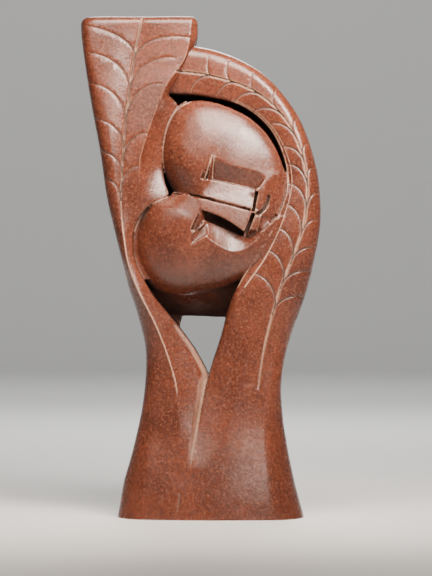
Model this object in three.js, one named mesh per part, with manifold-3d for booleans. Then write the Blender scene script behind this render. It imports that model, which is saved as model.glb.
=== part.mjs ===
// A standing stone carving of a kissing couple, in one block, about 450 mm tall.
// Two long leaves grow from a flared foot. The left one stands upright and ends in a square tip. The
// right one arches over as a hood. Between them two heads lie on their sides, pressed nose to nose.
// Below the heads a V-shaped opening goes right through the block.
// Units are millimetres, +X to the viewer's right, +Y away from the viewer, +Z up, origin on the ground
// under the middle of the carving. A depth in this file is measured towards the viewer, so y = -depth.
import * as THREE from "three";
import { ConvexGeometry } from "three/addons/geometries/ConvexGeometry.js";
import { mergeVertices } from "three/addons/utils/BufferGeometryUtils.js";
import Module from "manifold-3d";

const HEIGHT = 450;
const APEX_HEIGHT = 124; // the lowest point of the V-shaped opening
const TOP_ROUND = 7;
const HEAD_TOP = 50; // depth of the highest point of either head
const VEIN = { width: 2.2, depth: 1.3 };
const RIB = { width: 2.8, depth: 1.8 };

const wasm = await Module();
wasm.setup();

const clamp01 = (t) => Math.min(Math.max(t, 0), 1);
const smooth = (t) => clamp01(t) ** 2 * (3 - 2 * clamp01(t));
const mix = (a, b, t) => a + (b - a) * t;

// A smooth curve through [position, value] stations, flat beyond both ends.
function profile(...stations) {
  const last = stations.length - 1;
  const slopeAt = (i) => {
    const [a, b] = [stations[Math.max(i - 1, 0)], stations[Math.min(i + 1, last)]];
    return (b[1] - a[1]) / (b[0] - a[0]);
  };
  return (position) => {
    if (position <= stations[0][0]) return stations[0][1];
    if (position >= stations[last][0]) return stations[last][1];
    const i = stations.findIndex((s) => s[0] > position) - 1;
    const [[t0, v0], [t1, v1]] = [stations[i], stations[i + 1]];
    const t = (position - t0) / (t1 - t0);
    const pull = t * (1 - t) * (t1 - t0);
    return mix(v0, v1, smooth(t)) + pull * (slopeAt(i) * (1 - t) - slopeAt(i + 1) * t);
  };
}

// How far a face drops near an edge that is rounded with the given radius.
function edgeDrop(distance, radius) {
  const reach = radius - Math.min(Math.max(distance, 0), radius);
  return radius - Math.sqrt(radius * radius - reach * reach);
}

// A manifold solid from a closed three.js geometry.
function solid(geometry) {
  const bare = geometry.clone();
  for (const name of Object.keys(bare.attributes)) if (name !== "position") bare.deleteAttribute(name);
  const merged = mergeVertices(bare, 1e-3);
  return new wasm.Manifold(
    new wasm.Mesh({
      numProp: 3,
      vertProperties: new Float32Array(merged.attributes.position.array),
      triVerts: new Uint32Array(merged.index.array),
    }),
  );
}

// A closed solid through rings of points, each ring a closed loop, with a fan over either end.
function loft(rings) {
  const size = rings[0].length;
  const points = rings.flat();
  const faces = [];
  for (let r = 0; r + 1 < rings.length; r++)
    for (let i = 0; i < size; i++) {
      const [a, b] = [r * size + i, r * size + ((i + 1) % size)];
      faces.push(a, b, b + size, a, b + size, a + size);
    }
  for (const [start, flip] of [[0, true], [(rings.length - 1) * size, false]]) {
    const centre = new THREE.Vector3();
    for (let i = 0; i < size; i++) centre.addScaledVector(points[start + i], 1 / size);
    points.push(centre);
    for (let i = 0; i < size; i++) {
      const [a, b] = [start + i, start + ((i + 1) % size)];
      faces.push(...(flip ? [b, a, points.length - 1] : [a, b, points.length - 1]));
    }
  }
  const geometry = new THREE.BufferGeometry().setFromPoints(points);
  geometry.setIndex(faces);
  return solid(geometry);
}

// The solid inside a handful of corners given as [x, z, depth].
const hull = (corners) => solid(new ConvexGeometry(corners.map(([x, z, depth]) => new THREE.Vector3(x, -depth, z))));

// A cut with the given floor corners that is open towards the viewer.
const gouge = (floor) => hull([...floor, ...floor.map(([x, z]) => [x, z, HEAD_TOP + 20])]);

// A hollow through stations of [lowest point, point of one rim, point of the other rim]. Its sides run on
// past the rims so that it opens cleanly towards the viewer.
function hollow(stations) {
  const corner = ([x, z, depth]) => new THREE.Vector3(x, -depth, z);
  const past = (low, rim) => rim.map((v, i) => mix(low[i], v, 2));
  const rings = stations.map(([low, a, b]) => [low, a, past(low, a), past(low, b), b].map(corner));
  const shape = loft(rings);
  return shape.volume() > 0 ? shape : loft(rings.toReversed());
}

// One ring of a leaf-like body. Its front face runs along the given points of the front view, with the
// marked columns falling on the edges and folds of the carving, and its back face runs back again.
function bandRing(guides, shares, front, back, rounds) {
  const place = (u) => {
    const i = Math.min(Math.max(shares.findIndex((s) => s >= u) - 1, 0), shares.length - 2);
    return guides[i].clone().lerp(guides[i + 1], (u - shares[i]) / (shares[i + 1] - shares[i]));
  };
  const [first, last] = [guides[0], guides.at(-1)];
  const drop = (p, radii) => edgeDrop(p.distanceTo(first), radii[0]) + edgeDrop(p.distanceTo(last), radii[1]);
  const ring = [];
  for (const u of front.columns) {
    const p = place(u);
    ring.push(new THREE.Vector3(p.x, drop(p, rounds.front) - front.depth(p, u), p.y));
  }
  for (const u of back.columns.toReversed()) {
    const p = place(u);
    ring.push(new THREE.Vector3(p.x, back.depth(p, u) - drop(p, rounds.back), p.y));
  }
  return ring;
}

// Columns from 0 to 1 that crowd at either end and pass through the given shares.
function columnsThrough(shares, counts, crowdEnds = true) {
  const columns = [0];
  counts.forEach((count, span) => {
    for (let i = 1; i <= count; i++) {
      let t = i / count;
      if (crowdEnds && span === 0) t = mix(t, 1 - Math.cos((t * Math.PI) / 2), 0.8);
      if (crowdEnds && span === counts.length - 1) t = mix(t, Math.sin((t * Math.PI) / 2), 0.8);
      columns.push(mix(shares[span], shares[span + 1], t));
    }
  });
  return columns;
}

// Both legs share this front and back up to the opening, so that they join in one foot.
const footDepth = profile([0, 57], [20, 54.4], [50, 48.8], [84, 43], [APEX_HEIGHT, 39.4], [160, 39.6]);

// Left body: the upright leaf and, below it, the left leg. The fold is the midrib of the leaf and runs
// down as the sharp edge of the leg. The shoulder is the right-hand edge of the flat face of the leaf.
const leftSide = profile([0, -74.5], [33, -68.5], [70, -58.5], [111, -50.5], [148, -49], [181, -56],
  [209, -65], [250, -75], [286, -83.5], [329, -90], [369, -97.5], [410, -104], [437, -107.5], [450, -107.5]);
const leftFold = profile([0, -18], [70, -19], [116, -21], [146, -29], [176, -41], [200, -53.4], [215, -60],
  [230, -64.8], [246, -67.4], [264, -69.6], [292, -70.6], [346, -67.3], [378, -64], [409, -59.8], [450, -52]);
const leftShoulder = profile([0, -14], [84, -9], [124, -6], [148, -15], [176, -32], [203, -49.5], [215, -55.8],
  [229, -61.2], [243, -63.8], [257, -64], [272, -60], [290, -55], [321, -53.5], [340, -48.4], [358, -42], [388, -30],
  [404, -18], [416, -12], [450, -7]);
const leftEdge = profile([0, -6], [49, -3], [84, 1], [APEX_HEIGHT, 7.5], [148, -3], [160, -11], [172, -20], [187, -32],
  [195, -38.5], [203, -44.5], [209, -48], [215, -51.4], [229, -58], [243, -60.6], [257, -59.4], [272, -53], [281.7, -43],
  [288, -29.4], [300, -31.6], [312, -33.6], [325, -34.4], [338, -33.4], [350, -30.2], [360, -25.8], [367, -21.6],
  [372, -21], [376, -25], [379, -28.5], [399, -18.5], [419, -8.8], [430, -3], [450, -2.5]);
const leafDepth = profile([160, 39.6], [200, 39.6], [250, 37], [300, 36], [350, 35], [400, 32], [450, 27]);
const leafBack = profile([160, 39.6], [200, 40.5], [250, 39.5], [320, 36], [400, 32], [450, 30]);
const foldDepth = profile([255, 0], [275, 1.5], [300, 2.8], [345, 4.8], [385, 6], [412, 5.4], [446, 1.6]);
const legSlope = profile([60, 0], [84, 0.16], [116, 0.32], [146, 0.48], [176, 0.6], [208, 0.7], [230, 0.85], [250, 0.6],
  [265, 0.35], [285, 0.1], [300, 0]);
// How far the front of the foot falls away to either side of its middle.
const footCrown = (x, z) => 8 * smooth((125 - z) / 60) * ((x - 20) / 72) ** 2;
// Below the opening the right leg lies lower than the left one, which slopes down to it.
const grooveDip = profile([47, 0], [60, 2.6], [84, 5.5], [APEX_HEIGHT, 8], [150, 1], [160, 0]);
const legRecess = profile([47, 0], [60, 2.6], [84, 5.5], [APEX_HEIGHT, 8], [150, 4], [185, 0]);

function leftFront(x, z) {
  const [side, fold, shoulder, edge] = [leftSide(z), leftFold(z), leftShoulder(z), leftEdge(z)];
  let depth = z < 160 ? footDepth(z) - footCrown(x, z) : leafDepth(z);
  depth -= foldDepth(z) * (x < fold ? (1 - clamp01((fold - x) / (fold - side))) ** 2.8 : 1 - clamp01((x - fold) / (shoulder - fold)));
  depth -= legSlope(z) * Math.max(x - fold, 0) + 12 * legSlope(z) * smooth((240 - z) / 30) * clamp01((fold - x) / (fold - side));
  const past = clamp01((x - shoulder) / 26);
  depth -= 14 * smooth((z - 274 + 0.3 * (x + 45)) / 44) * smooth((388 - z) / 14) * (1 - (1 - past) ** 2.2);
  if (z > 370) depth -= 6 * smooth((z - 370) / 14) * clamp01((x - shoulder) / (edge - shoulder));
  return depth - grooveDip(z) * clamp01(1 - (edge - x) / 8);
}

function leftBody() {
  const heights = [0, 18, 49, 72, 98, APEX_HEIGHT, 136, 148, 160, 172, 187, 195, 203, 215, 229, 243, 257, 265, 272, 277,
    281.7, 285, 288, 293, 300, 310, 321, 332, 346, 358, 367, 372, 376, 379, 389, 400, 410, 420, 431, 439, 443.5, 447,
    449.2, HEIGHT];
  const shares = [0, 0.45, 0.7, 1];
  const columns = columnsThrough(shares, [7, 3, 4]);
  const backColumns = columnsThrough(shares, [4, 1, 3]);
  const rings = heights.map((z) => {
    const tuck = edgeDrop(HEIGHT - z, TOP_ROUND);
    const guides = [leftSide(z) + tuck, leftFold(z), leftShoulder(z) - tuck, leftEdge(z) - tuck];
    const corner = mix(26, 12, smooth(z / 140));
    const back = Math.min(10, (guides[3] - guides[0]) * 0.4);
    const sharp = z < 130 ? 0.01 : 1.2;
    return bandRing(
      guides.map((x) => new THREE.Vector2(x, z)),
      shares,
      { columns, depth: (p) => leftFront(p.x, z) - tuck },
      { columns: backColumns, depth: () => (z < 160 ? footDepth(z) : leafBack(z)) - tuck },
      { front: [corner, sharp], back: [corner, z < 130 ? 0.01 : back] },
    );
  });
  return loft(rings);
}

// Right body: the right leg and the leaf that arches over the heads as a hood. Its inner edge, midrib
// and outer edge in the front view are matched point by point, from the ground up and over.
const HOOD_INNER = [[-12.5, 0], [-9, 30], [-1, 84], [7, 124], [18, 161], [31, 203], [52.5, 239], [68.5, 268],
  [77.5, 306], [65, 344], [38, 368.5], [4, 378], [-32, 381]];
const HOOD_RIB = [[46, 0], [46, 32], [48, 84], [52, 119], [58, 158], [70, 203], [84.5, 240], [93, 270],
  [94, 308], [80, 350], [51, 380], [8, 396], [-32, 401]];
const HOOD_OUTER = [[93.5, 0], [84.5, 33], [75, 84], [73, 124], [80.5, 160], [94, 199], [103, 236], [107.8, 272],
  [103.5, 315], [87, 361], [55, 399], [12, 420], [-32, 426]];
const curveOf = (points) => new THREE.SplineCurve(points.map(([x, z]) => new THREE.Vector2(x, z)));
const [innerCurve, ribCurve, outerCurve] = [HOOD_INNER, HOOD_RIB, HOOD_OUTER].map(curveOf);
const HOOD_SHARES = [0, 0.6, 1];
const hoodPoint = (t, u) =>
  u < 0.6
    ? innerCurve.getPoint(t).lerp(ribCurve.getPoint(t), u / 0.6)
    : ribCurve.getPoint(t).lerp(outerCurve.getPoint(t), (u - 0.6) / 0.4);
const hoodCrest = profile([0.25, 39.4], [0.333, 40], [0.417, 43.4], [0.5, 46.2], [0.583, 46.8], [0.667, 45], [0.75, 40.5],
  [0.88, 32], [1, 24]);
const hoodBack = profile([0.25, 39.4], [0.333, 40], [0.42, 43], [0.58, 45], [0.75, 42], [0.88, 35], [1, 28]);
const hoodInnerDrop = profile([0.25, 0], [0.35, 3], [0.5, 6], [0.7, 6], [0.85, 4], [1, 3]);
const hoodOuterDrop = profile([0.25, 0], [0.33, 7], [0.42, 7], [0.6, 4.5], [0.75, 2], [1, 1]);
const lipWidth = profile([0.36, 0], [0.46, 9], [0.58, 6], [0.75, 3], [1, 2]);
const legRound = profile([0.2, 0.01], [0.26, 3], [0.36, 8], [0.44, 1]);

function hoodFront(t, u, p) {
  const fromLip = p.distanceTo(innerCurve.getPoint(t));
  const recess = legRecess(p.y) * (1 - clamp01(fromLip / 28)) ** 1.5;
  if (t < 0.25) return footDepth(p.y) - footCrown(p.x, p.y) - recess;
  const drop = u < 0.6 ? hoodInnerDrop(t) * (1 - u / 0.6) ** 1.3 + 1.2 * smooth((t - 0.28) / 0.08) * (u < 0.599)
    : hoodOuterDrop(t) * ((u - 0.6) / 0.4) ** 1.5;
  const lip = lipWidth(t);
  const bevel = lip > 0.1 ? 0.45 * lip * clamp01(1 - fromLip / lip) : 0;
  return hoodCrest(t) - recess - drop - bevel;
}

function rightBody() {
  const ROWS = 44;
  const columns = [...columnsThrough([0, 0.6], [6]), 0.599, ...columnsThrough([0.6, 1], [6], false).slice(1)]
    .filter((u, i, all) => i === 0 || u !== all[i - 1]).sort((a, b) => a - b);
  const backColumns = columnsThrough(HOOD_SHARES, [3, 4]);
  const rings = [];
  for (let r = 0; r <= ROWS; r++) {
    const t = r / ROWS;
    const outer = mix(30, 11, smooth(t / 0.3));
    const guides = [innerCurve, ribCurve, outerCurve].map((curve) => curve.getPoint(t));
    rings.push(
      bandRing(
        guides,
        HOOD_SHARES,
        { columns, depth: (p, u) => hoodFront(t, u, p) },
        { columns: backColumns, depth: (p) => (t < 0.25 ? footDepth(p.y) : hoodBack(t)) },
        { front: [legRound(t), outer], back: [t < 0.26 ? 0.01 : 7, outer] },
      ),
    );
  }
  return loft(rings);
}

// A closed outline of the given number of points, smooth through a few [x, z, depth of the rim].
function closedOutline(points, count) {
  const curve = new THREE.CatmullRomCurve3(points.map(([x, z, rim = 0]) => new THREE.Vector3(x, z, rim)), true, "catmullrom", 0.5);
  const outline = curve.getPoints(count).slice(0, count);
  return THREE.ShapeUtils.isClockWise(outline) ? outline : outline.reverse();
}

// A mass with a closed outline in the front view, through layers of [share of the outline, depth], where
// the depth is a number or follows from the depth of the rim.
const massOf = (outline, summit, layers) =>
  loft(layers.map(([share, depth]) => outline.map((p) =>
    new THREE.Vector3(mix(summit.x, p.x, share), typeof depth === "number" ? -depth : -depth(p.z), mix(summit.y, p.y, share)))));

// A head bulges from its rim to its summit and goes straight back behind the rim.
function head(points, summit) {
  const shares = [0.1, 0.28, 0.45, 0.6, 0.73, 0.84, 0.92, 0.98, 1];
  const bulge = shares.map((share) => [share, (rim) => rim + (HEAD_TOP - rim) * (1 - share ** 2.1) ** 0.66]);
  return massOf(closedOutline(points, 46), summit, [...bulge, [1, (rim) => rim - 4], [1, -24]]);
}

// The two heads meet along this line, from left to right. Each outline runs on past it and is cut there.
const SEAM = [[-25, 290.9], [-16, 290], [-1.7, 287.5], [12.7, 284], [28.3, 280.1], [46.3, 274.7]];
const UPPER_HEAD = [[-23, 294.5, 16], [-29, 302, 16], [-32, 310, 18], [-33.4, 320, 22], [-33.3, 332, 22], [-31, 346, 22],
  [-27, 357, 21], [-20, 367, 22], [-8, 373.6, 24], [8, 373, 27], [26, 367.4, 30], [44.5, 358, 33], [58.6, 344.8, 34.5],
  [68.6, 328, 35.5], [75, 312, 36], [82, 296, 36.5], [84, 276, 36.5], [72, 254, 35], [48, 238, 34], [14, 232, 28],
  [-14, 262, 20]];
const LOWER_HEAD = [[-27, 288.5, 27], [-42, 281.8, 27], [-52.5, 272, 22], [-59, 257, 18], [-60.3, 243, 18], [-57.7, 229, 18],
  [-51, 215.5, 18], [-41, 205.5, 18], [-28, 200.8, 18], [-14, 199.8, 18], [2, 202, 18], [18, 206, 21], [34, 213, 26],
  [54, 226, 32], [73, 243, 35], [86, 266, 36], [82, 292, 36], [50, 318, 34], [10, 322, 26], [-14, 308, 20]];

function heads() {
  const [start, end] = [SEAM[0], SEAM.at(-1)];
  const length = Math.hypot(end[0] - start[0], end[1] - start[1]);
  const up = [(start[1] - end[1]) / length, 0, (end[0] - start[0]) / length];
  const seamHeight = up[0] * end[0] + up[2] * end[1];
  const upper = head(UPPER_HEAD, new THREE.Vector2(16, 304)).trimByPlane(up, seamHeight);
  const lower = head(LOWER_HEAD, new THREE.Vector2(4, 262)).trimByPlane(up.map((c) => -c), -seamHeight - 1.5);
  return upper.add(lower);
}

// The noses are flat slabs that meet along the seam.
const upperNose = () =>
  hull([[0, 288.4, 45.5], [13, 301, 43], [15, 284, 47.4], [50.4, 293, 40.6], [45.7, 275.2, 46.9], [50.4, 292.8, 30],
    [45.7, 275.4, 30], [0, 292, 35]]);
const lowerNose = () =>
  hull([[-1.5, 286.5, 46.8], [-1.5, 277.5, 48], [10.9, 274.1, 48.4], [22.3, 268.7, 48.2], [38.2, 257, 47.9], [46.6, 274, 45.2],
    [38.2, 257, 30], [46, 272.5, 30], [0, 283, 35]]);

// The cuts that shape the faces. Each face has an open notch beside the nose, whose far end is the eye
// under a folded lid, and straight slots that part the nose from the mouth. Right of the mouth the cheeks
// fall away to the lip of the hood.
function faceCuts() {
  const upperNotch = [[[10.6, 302, 39], [10.9, 324.2, 50]], [[19, 300.6, 39], [19.2, 320, 50]],
    [[27.6, 298.8, 39], [26.8, 315.6, 49.9]], [[38.4, 296.4, 38.4], [38.9, 312.2, 48.4]], [[48.4, 294, 38], [51.5, 308.2, 46.2]],
    [[53, 296, 41.4], [57.4, 302.6, 44.6]]];
  const lowerNotch = [
    [[3.6, 270.2, 43], [-1.2, 277.3, 48.8], [0.5, 262, 49.4]],
    [[6, 267.6, 39], [10.9, 274.1, 48.8], [7, 250.8, 49.6]],
    [[18, 262.6, 38], [22.3, 268.8, 48.4], [15.2, 243.5, 48.6]],
    [[29, 257.2, 37], [31.5, 262.3, 48], [27.5, 237, 46.6]],
    [[39, 252.2, 37], [38.8, 256.6, 47.2], [41.4, 243.8, 43.6]],
    [[43.5, 252, 40], [44.5, 255, 43], [50.5, 256, 41.6]],
  ];
  return [
    hollow(upperNotch.map(([low, brow]) => [low, brow, [low[0], low[1] - 0.1, 50]])),
    hollow(lowerNotch),
    gouge([[11.6, 324, 50], [6.8, 302.6, 44.6], [11, 302, 37.4], [13, 312, 42.5]]),
    gouge([[11.2, 324.4, 50.2], [2.4, 302.9, 46], [6, 302.6, 41.4], [6.2, 302.6, 45]]),
    gouge([[10.9, 324.6, 50.4], [-0.9, 303.2, 48.6], [1.8, 303, 42], [2, 303, 46.4]]),
    gouge([[2, 275, 46], [6, 274, 34], [16, 270.4, 28], [27, 264.6, 28], [38.6, 256.4, 28], [38.8, 252.2, 28], [27, 258.2, 28],
      [16, 263.6, 28], [5.6, 265.8, 34], [2.6, 269, 44]]),
    gouge([[6.7, 265.4, 41], [-10.2, 250.6, 49.6], [-7.8, 244.8, 47], [6.6, 254, 45.2]]),
    gouge([[-1, 275.6, 50], [-8.6, 258.4, 49.6], [-6.6, 257, 42.6], [-6.2, 256.8, 46.8], [-0.2, 270, 44]]),
    gouge([[-0.4, 275, 50], [-5.6, 256.6, 47.6], [-3.6, 256.2, 43], [5, 267.6, 40]]),
    gouge([[-1, 305, 49.6], [3, 287.6, 47.4], [13, 303.2, 42.3], [14.5, 283.4, 47.6], [50.4, 295.4, 39.8], [45.7, 274.6, 47]]),
    gouge([[-1, 287.6, 47.2], [-1, 277.2, 48.4], [38.2, 257, 48], [46.8, 275, 45.2]]),
    gouge([[61.5, 318, 46.5], [61, 290, 45.6], [56, 276, 45.4], [54.6, 270, 45.2], [80, 318, 37.5], [77, 290, 38.5],
      [71, 272, 39.5], [63, 264, 41.5]]),
    gouge([[54.8, 270, 42.2], [66.4, 269.2, 39.6], [50.4, 254, 45.2], [53.8, 262, 44.2]]),
    gouge([[49.3, 292.4, 38.5], [51.9, 291.8, 38.5], [48.2, 273.6, 37.5], [45.8, 274.2, 37.5]]),
    gouge([[46.2, 273.6, 37.5], [49, 271.6, 37.5], [40.9, 251, 37.5], [38.3, 254, 37.5]]),
  ];
}

// The block behind the heads, which closes the hood at the back. Its lower end roofs the opening, and
// the underside of the lower head slopes back to it.
function core() {
  const points = [[-42, 181], [-28, 171.5], [-19.5, 170], [-18.5, 180], [0, 180.6], [20, 180], [44, 183], [66, 230], [86, 262], [90, 306],
    [76, 352], [42, 382], [0, 391], [-36, 388], [-52, 340], [-58, 290], [-64, 250], [-64, 215]];
  const layers = [[0.1, -15], [0.97, -15], [1, -18], [1, -26], [0.985, -32], [0.9, -39], [0.7, -43.5], [0.35, -46.5], [0.1, -47.5]];
  return massOf(closedOutline(points, 52), new THREE.Vector2(10, 280), layers);
}

const underside = () =>
  hull([[-52, 216.5, 16], [-41, 206.8, 16.5], [-28, 202.2, 16.5], [-14, 201.2, 16.5], [2, 203.4, 16.5], [16, 208.4, 16.5], [30, 217.4, 16],
    [46, 233, 15], [-46, 188, -17], [-38, 181, -18], [30, 180.2, -18], [44, 186, -17], [52, 215, -17], [-40, 230, -17],
    [40, 240, -17]]);

function meshOf(name, shape, material) {
  const made = shape.getMesh();
  const geometry = new THREE.BufferGeometry();
  geometry.setAttribute("position", new THREE.BufferAttribute(new Float32Array(made.vertProperties), 3));
  geometry.setIndex(new THREE.BufferAttribute(new Uint32Array(made.triVerts), 1));
  geometry.computeVertexNormals();
  const mesh = new THREE.Mesh(geometry, material);
  mesh.name = name;
  return mesh;
}

// Cuts V-shaped lines into a solid, as seen from the front. Each line is a path of [x, z] points.
function engrave(shape, lines) {
  const target = meshOf("target", shape, new THREE.MeshBasicMaterial());
  const caster = new THREE.Raycaster();
  const inward = new THREE.Vector3(0, 1, 0);
  const surfaceAt = ([x, z]) => {
    caster.set(new THREE.Vector3(x, -200, z), inward);
    return caster.intersectObject(target)[0];
  };
  const cutters = [];
  for (const { path, width, depth, ends = [0.15, 1] } of lines) {
    const hits = path.map(surfaceAt).filter((hit) => hit);
    const rings = hits.map((hit, i) => {
      const [before, after] = [hits[Math.max(i - 1, 0)], hits[Math.min(i + 1, hits.length - 1)]];
      const along = after.point.clone().sub(before.point).normalize();
      const out = before.face.normal.clone().add(after.face.normal).add(hit.face.normal).normalize();
      const side = along.clone().cross(out).normalize();
      const size = mix(ends[0], ends[1], i / (hits.length - 1)) ** 0.6;
      const lift = 2;
      const half = (width / 2) * (1 + lift / (depth * size)) * size;
      const deepest = hit.point.clone().addScaledVector(out, -depth * size);
      const top = hit.point.clone().addScaledVector(out, lift);
      return [top.clone().addScaledVector(side, half), deepest, top.clone().addScaledVector(side, -half)];
    });
    const cutter = loft(rings);
    if (cutter.volume() < 0) throw new Error("a cut is inside out");
    cutters.push(cutter);
  }
  return shape.subtract(wasm.Manifold.union(cutters));
}

// A vein leaves a midrib along it, towards the tip of the leaf, and turns out to the edge like a quarter
// of an ellipse. The path runs from the edge to the midrib.
function vein([edgeX, edgeZ], meet, towardsTip) {
  meet.addScaledVector(towardsTip, -4);
  const reach = new THREE.Vector2(edgeX, edgeZ).sub(meet);
  const along = towardsTip.clone().multiplyScalar(reach.dot(towardsTip));
  const across = reach.sub(along);
  const path = [0, 0.12, 0.28, 0.5, 0.75, 1].map((q) => {
    const turn = ((1 - q) * Math.PI) / 2;
    const p = meet.clone().addScaledVector(along, Math.sin(turn)).addScaledVector(across, 1 - Math.cos(turn));
    return [p.x, p.y];
  });
  return { ...VEIN, path, ends: [0.35, 1] };
}

// Veins of the upright leaf as [edge x, edge z, height where they meet the midrib].
const LEAF_VEINS = [
  [-101.5, 441, 418], [-99.3, 416.5, 387.5], [-98, 388.8, 358], [-94, 356.7, 335.5], [-88.6, 327.2, 313],
  [-83.5, 302.2, 288], [-8.5, 430, 414.7], [-21.6, 412, 388], [-34.1, 388.8, 362], [-47.5, 344.2, 323.7],
  [-55.5, 314.7, 295.1],
];

function leafLines() {
  const up = (z) => new THREE.Vector2(leftFold(z + 5) - leftFold(z), 5).normalize();
  const veins = LEAF_VEINS.map(([x, z, meets]) => vein([x, z], new THREE.Vector2(leftFold(meets), meets), up(meets)));
  const heights = Array.from({ length: 12 }, (_, i) => mix(447, 268, i / 11));
  return [...veins, { ...RIB, path: heights.map((z) => [leftFold(z), z]), ends: [0.8, 0.25] }];
}

// Veins of the hood as [edge x, edge z, meeting x, meeting z], from its tip down. The first list runs to
// the outer edge and the second to the inner edge.
const HOOD_VEINS = [
  [7.4, 413.4, 7.4, 398.2], [25.2, 409.8, 26.1, 392.4], [47.5, 398.2, 45.7, 384],
  [68.4, 383.1, 67.6, 368.8], [86.7, 356.8, 82.7, 346.6], [96.1, 335, 91, 326.5],
  [100.1, 312.7, 94.7, 304.2], [105.4, 290.9, 94.3, 278], [105.4, 266.4, 90.3, 255.2],
  [102.8, 240.7, 81.4, 231.6], [97.3, 219.6, 72.9, 208.5], [91.2, 197.8, 65.3, 184.9],
  [-8.2, 382.2, 7, 395.6], [15, 377.7, 26.6, 389.3], [30.1, 371.5, 49.7, 380], [47.1, 362.6, 71.1, 363.5],
  [62.2, 351.9, 83.6, 343], [72.9, 331.4, 91.2, 321.6], [77.4, 316.3, 93.8, 301.1],
  [78.2, 299.3, 93.4, 279.7], [76, 281.1, 88.5, 256.6], [70.7, 259.3, 80.5, 234.3],
  [61.8, 239.1, 72.5, 213.8], [48.3, 219.2, 64.4, 192.4],
];

function hoodLines() {
  const along = ribCurve.getPoints(200);
  const veins = HOOD_VEINS.map(([x, z, meetX, meetZ]) => {
    const meet = new THREE.Vector2(meetX, meetZ);
    const distances = along.map((p) => p.distanceTo(meet));
    const i = Math.min(Math.max(distances.indexOf(Math.min(...distances)), 2), 198);
    return vein([x, z], along[i].clone(), along[i + 2].clone().sub(along[i - 2]).normalize());
  });
  const path = Array.from({ length: 30 }, (_, i) => ribCurve.getPoint(mix(0.97, 0.245, i / 29))).map((p) => [p.x, p.y]);
  return [...veins, { ...RIB, path, ends: [1, 0.25] }];
}

const seamLine = { path: [...SEAM, [47.4, 273.6]], width: 2.6, depth: 6, ends: [0.8, 1] };

const MOUTH_LINES = [
  { path: [[61.8, 291.5], [61.1, 286.5], [59.4, 280.6], [55.8, 275.4], [51.4, 272.2], [47, 272]], width: 4.6, depth: 6, ends: [0.45, 1] },
  { path: [[68.4, 271.4], [61, 263.6], [50.6, 253.4]], width: 3, depth: 3, ends: [1, 0.4] },
];

let faces = heads().add(upperNose()).add(lowerNose());
for (const cut of faceCuts()) faces = faces.subtract(cut);
faces = engrave(faces, [seamLine, ...MOUTH_LINES]);
let carving = leftBody().add(rightBody()).add(core()).add(underside()).add(faces).asOriginal().simplify(0.03);
// The stone has no sealed pockets, so only its outer shell is kept.
carving = carving.decompose().find((shell) => shell.volume() > 1e6);
carving = engrave(carving, [...leafLines(), ...hoodLines()]).asOriginal().simplify(0.04);

const stone = new THREE.MeshStandardMaterial({ color: 0xa3664e, roughness: 0.5, metalness: 0 });
const sculpture = new THREE.Group();
sculpture.add(meshOf("kissing_couple", carving, stone));

export default sculpture;
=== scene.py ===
"""A standing stone carving of a kissing couple, on a pale studio floor.

The carving is cut in the order a carver would work. The two leaves, the heads and the block behind them
are roughed out as smooth masses, the faces are cut into the heads, the block is rubbed smooth, and the
midribs and veins are scratched in last, through the wax to the paler stone.

Sizes inside the carving are in millimetres, as [x, z] in the front view and a depth towards the viewer,
and are turned to metres when a mesh is made.
"""

import math

import bmesh
import bpy
import numpy as np
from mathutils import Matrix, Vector
from mathutils.bvhtree import BVHTree
from mathutils.kdtree import KDTree


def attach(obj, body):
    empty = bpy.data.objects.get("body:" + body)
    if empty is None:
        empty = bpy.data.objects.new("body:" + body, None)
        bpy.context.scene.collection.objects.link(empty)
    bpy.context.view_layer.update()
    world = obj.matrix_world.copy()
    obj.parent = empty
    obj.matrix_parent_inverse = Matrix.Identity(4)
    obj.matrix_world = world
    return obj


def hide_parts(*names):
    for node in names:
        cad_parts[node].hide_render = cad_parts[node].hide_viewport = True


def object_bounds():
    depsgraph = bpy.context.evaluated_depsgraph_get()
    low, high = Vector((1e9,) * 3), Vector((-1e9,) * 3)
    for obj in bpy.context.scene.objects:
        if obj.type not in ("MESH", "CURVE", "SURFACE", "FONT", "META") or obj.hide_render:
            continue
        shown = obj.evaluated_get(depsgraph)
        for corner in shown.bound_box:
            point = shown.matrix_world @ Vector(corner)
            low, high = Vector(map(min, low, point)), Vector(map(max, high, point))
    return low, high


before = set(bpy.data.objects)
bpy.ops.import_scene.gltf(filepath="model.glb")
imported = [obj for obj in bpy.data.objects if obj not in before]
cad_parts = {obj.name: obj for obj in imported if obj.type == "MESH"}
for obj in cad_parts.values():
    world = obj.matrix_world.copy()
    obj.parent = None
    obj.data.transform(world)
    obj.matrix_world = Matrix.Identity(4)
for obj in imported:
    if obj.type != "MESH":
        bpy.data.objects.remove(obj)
CAD_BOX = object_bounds()

bl_info = {
    "name": "Kissing couple stone carving",
    "version": (1, 0, 0),
    "blender": (4, 5, 0),
    "location": "View3D > Sidebar > Carving",
    "description": "Carves a leaf-hooded kissing couple from one block of soapstone and lights it",
    "category": "Object",
}

MM = 0.001
HEIGHT = 450.0
# The opening below the heads ends in a point at the first height. The legs meet up to there, so their
# inner edges are left sharp up to the second height. The left leg becomes the upright leaf at the third.
APEX_HEIGHT = 124.0
JOINED_HEIGHT = 130.0
LEAF_HEIGHT = 160.0
TOP_ROUND = 7.0
# The radius of an edge that is left sharp.
SHARP = 0.01
# The depth of the summit of either head, and a distance that is clear of the carving on every side.
HEAD_TOP = 50.0
CLEAR = 200
WARM_WHITE = "#FFF1E4"


def clamp01(t):
    return np.clip(t, 0.0, 1.0)


def smooth(t):
    t = clamp01(t)
    return t * t * (3 - 2 * t)


def mix(a, b, t):
    return a + (b - a) * t


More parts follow.
